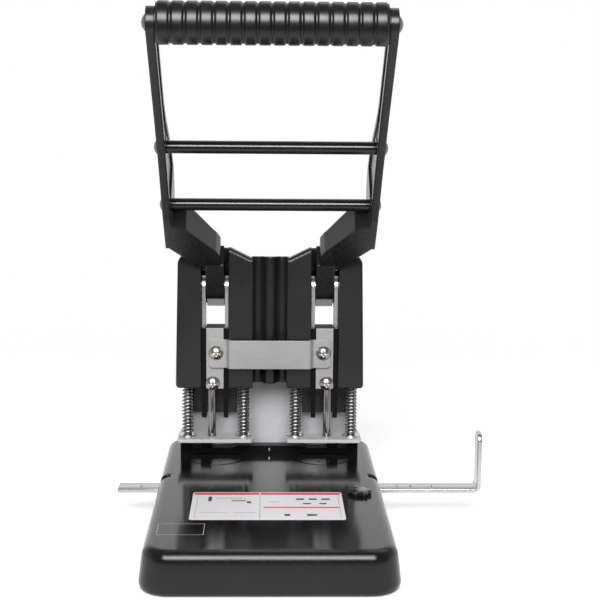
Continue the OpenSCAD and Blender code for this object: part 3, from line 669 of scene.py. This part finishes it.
@dataclass
class GuideStrip:
    """Paper guide bent from one strip, with a round corner, soft edges and plain stop marks."""

    thick: float = 2.5 * MM
    bend: float = 5.0 * MM
    corner: float = 5.5 * MM
    edge: float = 0.3 * MM
    places: Tuple[float, ...] = (85 * MM, 94 * MM, 108 * MM, -85 * MM)
    size: Vec2 = (0.7 * MM, 5.0 * MM)
    ink: float = 0.03 * MM

    def bend_strip(self) -> bpy.types.Object:
        """Bend the outer face of the strip, round its corner and give it its thickness.

        Returns:
            The finished strip in place of the CAD one.
        """
        low, high = (Vector(c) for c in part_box("guide_bar"))
        flat = high.x - self.bend - low.x
        deselect()
        bpy.ops.mesh.primitive_plane_add(size=1, location=(low.x + flat / 2, (low.y + high.y) / 2, low.z))
        strip = bpy.context.object
        strip.scale = (flat, high.y - low.y, 1)
        bpy.ops.object.transform_apply(location=True, rotation=False, scale=True)
        end = high.x - self.bend - self.edge
        for edge in strip.data.edges:
            edge.select = all(strip.data.vertices[v].co.x > end for v in edge.vertices)
        for vertex in strip.data.vertices:
            vertex.select = vertex.co.x > end
        strip.data.polygons[0].select = False
        bpy.ops.object.mode_set(mode="EDIT")
        bpy.ops.mesh.select_mode(type="EDGE")
        bpy.ops.mesh.spin(steps=12, angle=math.pi / 2, axis=(0, 1, 0),
                          center=(high.x - self.bend, low.y, low.z + self.bend))
        rise = high.z - low.z - self.bend
        bpy.ops.mesh.extrude_region_move(TRANSFORM_OT_translate={"value": (0, 0, rise)})
        bpy.ops.object.mode_set(mode="OBJECT")
        for vertex in strip.data.vertices:
            vertex.select = vertex.co.z > high.z - self.edge and vertex.co.y < low.y + self.edge
        bpy.ops.object.mode_set(mode="EDIT")
        bpy.ops.mesh.select_mode(type="VERT")
        bpy.ops.mesh.bevel(offset=self.corner, segments=8, affect="VERTICES")
        bpy.ops.mesh.select_all(action="SELECT")
        bpy.ops.mesh.normals_make_consistent(inside=False)
        bpy.ops.object.mode_set(mode="OBJECT")
        wall = strip.modifiers.new("sheet", "SOLIDIFY")
        wall.thickness, wall.offset = self.thick, -1.0
        bpy.ops.object.modifier_apply(modifier=wall.name)
        soft = strip.modifiers.new("soft edges", "BEVEL")
        soft.width, soft.segments, soft.limit_method = self.edge, 2, "ANGLE"
        soft.angle_limit = math.radians(40)
        bpy.ops.object.modifier_apply(modifier=soft.name)
        bpy.ops.object.shade_smooth_by_angle(angle=math.radians(35))
        return settle(strip, "guide_strip")

    def build(self) -> None:
        """Bend the strip and print each mark as a thin film on it."""
        strip = self.bend_strip()
        dress(strip, STRIP_STEEL)
        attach(strip, "paper_guide")
        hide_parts("guide_bar")
        log.info("bent %s", strip.name)
        low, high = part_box("guide_bar")
        top = low[2] + self.thick
        middle = (low[1] + high[1]) / 2
        half_w, half_d = (side / 2 for side in self.size)
        x = self.places[0]
        first = flat_plate("guide_mark_0", (x - half_w, middle - half_d, top),
                           (x + half_w, middle + half_d, top + self.ink))
        copies = [twin(first, f"guide_mark_{i}", (place - x, 0, 0))
                  for i, place in enumerate(self.places) if i]
        for mark in [first] + copies:
            dress(mark, FILM_DARK)
            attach(mark, "paper_guide")
            log.info("printed %s", mark.name)


@dataclass
class Knob:
    """Low fluted knob that locks the paper guide, on its stem."""

    lobes: int = 6
    columns: int = 16
    crest: float = 7.5 * MM
    valley: float = 5.7 * MM
    height: float = 2.8 * MM
    stand: float = 5.0 * MM
    stem: float = 2.5 * MM
    rim: float = 0.5 * MM
    fullness: float = 0.7

    def press(self, knob: bpy.types.Object) -> None:
        """Press the flutes into a plain disc, one ring of columns after another.

        Args:
            knob: The disc, which still stands on its own origin.
        """
        pitch = 2 * math.pi / (self.lobes * self.columns)
        for step in range(1, self.columns):
            swell = (0.5 + 0.5 * math.cos(2 * math.pi * step / self.columns)) ** self.fullness
            share = (self.valley + (self.crest - self.valley) * swell) / self.crest
            bpy.ops.object.mode_set(mode="EDIT")
            bpy.ops.mesh.select_mode(type="VERT")
            bpy.ops.mesh.select_all(action="DESELECT")
            bpy.ops.object.mode_set(mode="OBJECT")
            for vertex in knob.data.vertices:
                vertex.select = round(math.atan2(vertex.co.y, vertex.co.x) / pitch) % self.columns == step
            bpy.ops.object.mode_set(mode="EDIT")
            bpy.ops.transform.resize(value=(share, share, 1), center_override=knob.location)
        bpy.ops.object.mode_set(mode="OBJECT")

    def build(self) -> None:
        """Flute a flat cylinder, soften its rim and join the stem to it."""
        low, high = (Vector(c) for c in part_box("lock_knob"))
        middle = (low + high) / 2
        foot = high.z - self.stand
        deselect()
        bpy.ops.mesh.primitive_cylinder_add(vertices=self.lobes * self.columns, radius=self.crest,
                                            depth=self.height,
                                            location=(middle.x, middle.y, foot + self.height / 2))
        knob = bpy.context.object
        self.press(knob)
        soft = knob.modifiers.new("rim", "BEVEL")
        soft.width, soft.segments, soft.limit_method = self.rim, 3, "ANGLE"
        soft.angle_limit = math.radians(50)
        bpy.ops.object.modifier_apply(modifier=soft.name)
        deselect()
        bpy.ops.mesh.primitive_cylinder_add(vertices=32, radius=self.stem, depth=foot - low.z,
                                            location=(middle.x, middle.y, (foot + low.z) / 2))
        knob.select_set(True)
        bpy.context.view_layer.objects.active = knob
        bpy.ops.object.join()
        bpy.ops.object.shade_smooth_by_angle(angle=math.radians(40))
        settle(knob, "fluted_knob")
        dress(knob, NYLON)
        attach(knob, "knob")
        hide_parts("lock_knob")
        log.info("fluted %s with %d lobes", knob.name, self.lobes)


@dataclass(frozen=True)
class Lamp:
    """One soft box: where it hangs, the point it looks at, its width and height, and its power."""

    name: str
    place: Vec3
    aim: Vec3
    size: Vec2
    watts: float

    def hang(self) -> None:
        """Put the soft box into the scene."""
        data = bpy.data.lights.new(self.name, "AREA")
        data.shape = "RECTANGLE"
        data.size, data.size_y = self.size
        data.energy = self.watts
        lamp = bpy.data.objects.new(self.name, data)
        lamp.location = self.place
        lamp.rotation_euler = (Vector(self.aim) - Vector(self.place)).to_track_quat("-Z", "Y").to_euler()
        bpy.context.scene.collection.objects.link(lamp)


@dataclass
class Studio:
    """Floor, light and camera of a plain product picture.

    room lights the object, and mirrors see a white backdrop that fades to ceiling over wall_span of the
    ray's height and to front over depth_span of its depth. The floor's card glows for the eye alone and
    fades from card_solid to card_end.
    """

    focal_px: float = 1400.0
    frame_px: float = 600.0
    sensor_mm: float = 36.0
    eye: Vec3 = (-3.8 * MM, -953.3 * MM, 280.9 * MM)
    pitch: float = 8.54
    yaw: float = 1.47
    roll: float = -0.45
    room: float = 0.14
    ceiling: float = 0.3
    front: float = 0.15
    wall_span: Vec2 = (0.28, 0.64)
    depth_span: Vec2 = (-0.6, 0.2)
    floor_size: float = 8.0
    floor_drop: float = 0.4 * MM
    card: str = "#f4f4f4"
    shadow: float = 0.45
    card_glow: float = 0.66
    card_solid: float = 0.28
    card_end: float = 0.75
    lamps: Tuple[Lamp, ...] = (
        Lamp("front box", (-0.1, -1.5, 1.05), (0, -0.05, 0.12), (1.3, 0.85), 63.0),
        Lamp("rear box", (0.4, 1.0, 1.6), (0, 0, 0.15), (1.4, 0.6), 4.5),
    )

    def camera(self) -> None:
        """Stand the camera where the picture was taken."""
        p, y, r = (math.radians(a) for a in (self.pitch, self.yaw, self.roll))
        level = Vector((math.cos(y), -math.sin(y), 0))
        ahead = Vector((math.cos(p) * math.sin(y), math.cos(p) * math.cos(y), -math.sin(p)))
        upright = Vector((math.sin(p) * math.sin(y), math.sin(p) * math.cos(y), math.cos(p)))
        right = level * math.cos(r) - upright * math.sin(r)
        up = level * math.sin(r) + upright * math.cos(r)
        turn = Matrix((right, up, -ahead)).transposed().to_4x4()
        data = bpy.data.cameras.new("camera")
        data.sensor_width = self.sensor_mm
        data.lens = self.focal_px / self.frame_px * data.sensor_width
        cam = bpy.data.objects.new("camera", data)
        cam.matrix_world = Matrix.Translation(self.eye) @ turn
        bpy.context.scene.collection.objects.link(cam)
        bpy.context.scene.camera = cam

    def seen(self, tree: bpy.types.NodeTree) -> bpy.types.NodeSocket:
        """Tell rays of the eye, of mirrors and of glass from rays that only light.

        Args:
            tree: Node tree that needs the test.

        Returns:
            One for rays that show the backdrop, zero for the others.
        """
        path = add_node(tree, "ShaderNodeLightPath")
        first = add_node(tree, "ShaderNodeMath", {"operation": "MAXIMUM"}, i0=path.outputs["Is Camera Ray"],
                         i1=path.outputs["Is Transmission Ray"])
        both = add_node(tree, "ShaderNodeMath", {"operation": "MAXIMUM"}, i0=first.outputs[0],
                        i1=path.outputs["Is Glossy Ray"])
        return both.outputs[0]

    def paper(self) -> bpy.types.Material:
        """Make the floor's material: white card with the object's shadow, fading into the backdrop.

        Returns:
            The floor material.
        """
        mat = bpy.data.materials.new("White studio card")
        mat.use_nodes = True
        tree = mat.node_tree
        tree.nodes.clear()
        out = add_node(tree, "ShaderNodeOutputMaterial")
        coords = add_node(tree, "ShaderNodeTexCoord").outputs["Object"]
        reach = add_node(tree, "ShaderNodeVectorMath", {"operation": "LENGTH"}, i0=coords)
        fade = add_node(tree, "ShaderNodeMapRange", {"interpolation_type": "SMOOTHSTEP"},
                        Value=reach.outputs["Value"], i1=self.card_solid, i2=self.card_end, i3=0.0, i4=1.0)
        lit = add_node(tree, "ShaderNodeBsdfDiffuse", Color=linear(self.card))
        shaded = add_node(tree, "ShaderNodeBsdfDiffuse", Color=(self.shadow, self.shadow, self.shadow, 1.0))
        glow = add_node(tree, "ShaderNodeEmission", Color=(1, 1, 1, 1), Strength=self.card_glow)
        card = add_node(tree, "ShaderNodeAddShader", i0=shaded.outputs[0], i1=glow.outputs[0])
        both = add_node(tree, "ShaderNodeMixShader", Fac=self.seen(tree), i1=lit.outputs[0],
                        i2=card.outputs[0])
        clear = add_node(tree, "ShaderNodeBsdfTransparent")
        mix = add_node(tree, "ShaderNodeMixShader", Fac=fade.outputs["Result"], i1=both.outputs[0],
                       i2=clear.outputs[0])
        tree.links.new(mix.outputs[0], out.inputs["Surface"])
        return mat

    def world(self) -> None:
        """Fill the room with soft light: a white backdrop behind, a dim ceiling and a dim room in front."""
        world = bpy.data.worlds.new("room")
        bpy.context.scene.world = world
        world.use_nodes = True
        tree = world.node_tree
        tree.nodes.clear()
        out = add_node(tree, "ShaderNodeOutputWorld")
        ray = add_node(tree, "ShaderNodeTexCoord").outputs["Generated"]
        split = add_node(tree, "ShaderNodeSeparateXYZ", Vector=ray)
        wall = add_node(tree, "ShaderNodeMapRange", {"interpolation_type": "SMOOTHSTEP"},
                        Value=split.outputs["Z"], i1=self.wall_span[0], i2=self.wall_span[1], i3=1.0,
                        i4=self.ceiling)
        depth = add_node(tree, "ShaderNodeMapRange", {"interpolation_type": "SMOOTHSTEP"},
                         Value=split.outputs["Y"], i1=self.depth_span[0], i2=self.depth_span[1],
                         i3=self.front, i4=1.0)
        mirrored = add_node(tree, "ShaderNodeMath", {"operation": "MULTIPLY"}, i0=wall.outputs["Result"],
                            i1=depth.outputs["Result"])
        path = add_node(tree, "ShaderNodeLightPath")
        eye = add_node(tree, "ShaderNodeMath", {"operation": "MAXIMUM"}, i0=path.outputs["Is Camera Ray"],
                       i1=path.outputs["Is Transmission Ray"])
        room = add_node(tree, "ShaderNodeBackground", Color=(1, 1, 1, 1), Strength=self.room)
        studio = add_node(tree, "ShaderNodeBackground", Color=(1, 1, 1, 1), Strength=mirrored.outputs[0])
        card = add_node(tree, "ShaderNodeBackground", Color=(1, 1, 1, 1), Strength=1.0)
        lit = add_node(tree, "ShaderNodeMixShader", Fac=path.outputs["Is Glossy Ray"], i1=room.outputs[0],
                       i2=studio.outputs[0])
        mix = add_node(tree, "ShaderNodeMixShader", Fac=eye.outputs[0], i1=lit.outputs[0], i2=card.outputs[0])
        tree.links.new(mix.outputs[0], out.inputs["Surface"])

    def build(self) -> None:
        """Set out floor, lights, room and camera."""
        deselect()
        bpy.ops.mesh.primitive_plane_add(size=self.floor_size, location=(0, 0, -self.floor_drop))
        floor = bpy.context.object
        floor.name = "floor"
        floor.data.materials.append(self.paper())
        self.world()
        for lamp in self.lamps:
            lamp.hang()
        self.camera()
        bpy.context.scene.view_settings.view_transform = "Standard"


def dress_frame() -> None:
    """Give every CAD node its real finish."""
    for finish, names in WORN.items():
        for name in names:
            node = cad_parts[name]
            dress(node, finish)
            log.info("dressed %s in %s", name, finish.name)


def main() -> None:
    """Build the looks in order."""
    logging.basicConfig(level=logging.INFO)
    Studio().build()
    dress_frame()
    for part in (Sticker(), BareField(), Grip(), StopScrew(), Coils(), GuideStrip(), Knob()):
        part.build()


if __name__ == "__main__":
    main()
